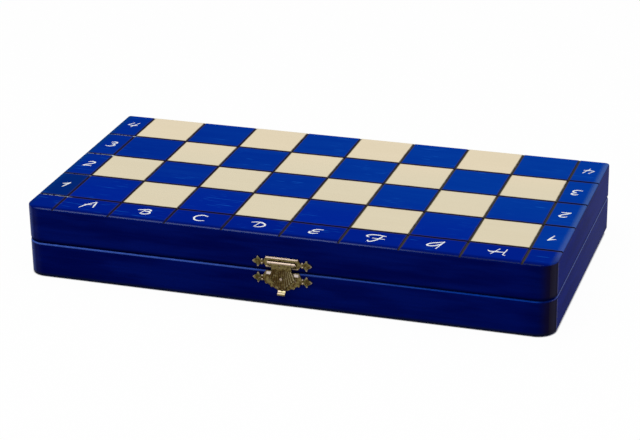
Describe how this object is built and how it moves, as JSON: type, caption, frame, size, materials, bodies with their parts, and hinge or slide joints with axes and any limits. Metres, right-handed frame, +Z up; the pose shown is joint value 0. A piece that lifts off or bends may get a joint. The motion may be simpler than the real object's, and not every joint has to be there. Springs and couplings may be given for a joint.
{
  "type": "magnetic travel chess set",
  "caption": "Folding wooden chess case whose outside is the board, with a brass clasp, rear hinges and turned magnetic chessmen lying in flocked trays inside.",
  "frame": {"origin": "centre of the closed case's underside", "axes": "+X along the case's length, to the right of a viewer at the clasp; -Y is the clasp side, +Y the hinge side; +Z up through the closed case"},
  "size_m": [0.272, 0.1442, 0.037],
  "materials": {
    "case_wood": "blue stain under clear gloss varnish",
    "board": "blue-stained and bare light squares with burnt lines, under clear gloss varnish",
    "steel_sheet": "bare rolled sheet",
    "flock": "dark flocked foam",
    "magnet": "nickel-plated disc",
    "light_wood": "natural wood, satin varnish",
    "dark_wood": "blue-stained wood, satin varnish",
    "brass": "aged stamped brass"
  },
  "bodies": {
    "lower_case": {"lower_front_wall": "case_wood", "lower_rear_wall": "case_wood", "lower_left_wall": "case_wood", "lower_right_wall": "case_wood", "lower_board": "board", "lower_steel_sheet": "steel_sheet", "lower_tray": "flock", "left_hinge_lower_leaf": "brass", "left_hinge_pin": "brass", "right_hinge_lower_leaf": "brass", "right_hinge_pin": "brass", "catch_plate": "brass", "lower_brads": "brass", "light_magnets": "magnet", "light_rook_1": "light_wood", "light_knight_1": "light_wood", "light_bishop_1": "light_wood", "light_queen": "light_wood", "light_king": "light_wood", "light_bishop_2": "light_wood", "light_knight_2": "light_wood", "light_rook_2": "light_wood", "light_pawn_1": "light_wood", "light_pawn_2": "light_wood", "light_pawn_3": "light_wood", "light_pawn_4": "light_wood", "light_pawn_5": "light_wood", "light_pawn_6": "light_wood", "light_pawn_7": "light_wood", "light_pawn_8": "light_wood"},
    "upper_case": {"upper_front_wall": "case_wood", "upper_rear_wall": "case_wood", "upper_left_wall": "case_wood", "upper_right_wall": "case_wood", "upper_board": "board", "upper_steel_sheet": "steel_sheet", "upper_tray": "flock", "left_hinge_upper_leaf": "brass", "right_hinge_upper_leaf": "brass", "clasp_plate": "brass", "hasp_pin": "brass", "upper_brads": "brass", "dark_magnets": "magnet", "dark_rook_1": "dark_wood", "dark_knight_1": "dark_wood", "dark_bishop_1": "dark_wood", "dark_queen": "dark_wood", "dark_king": "dark_wood", "dark_bishop_2": "dark_wood", "dark_knight_2": "dark_wood", "dark_rook_2": "dark_wood", "dark_pawn_1": "dark_wood", "dark_pawn_2": "dark_wood", "dark_pawn_3": "dark_wood", "dark_pawn_4": "dark_wood", "dark_pawn_5": "dark_wood", "dark_pawn_6": "dark_wood", "dark_pawn_7": "dark_wood", "dark_pawn_8": "dark_wood"},
    "hasp": {"hasp": "brass"}
  },
  "joints": [
    {"name": "lid_hinge", "type": "hinge", "parent": "lower_case", "child": "upper_case", "pos_m": [0, 0.06965, 0.0185], "axis": [-1, 0, 0], "range_deg": [0, 180]},
    {"name": "hasp_hinge", "type": "hinge", "parent": "upper_case", "child": "hasp", "pos_m": [0.00165, -0.071, 0.0228], "axis": [-1, 0, 0], "range_deg": [0, 130]}
  ]
}
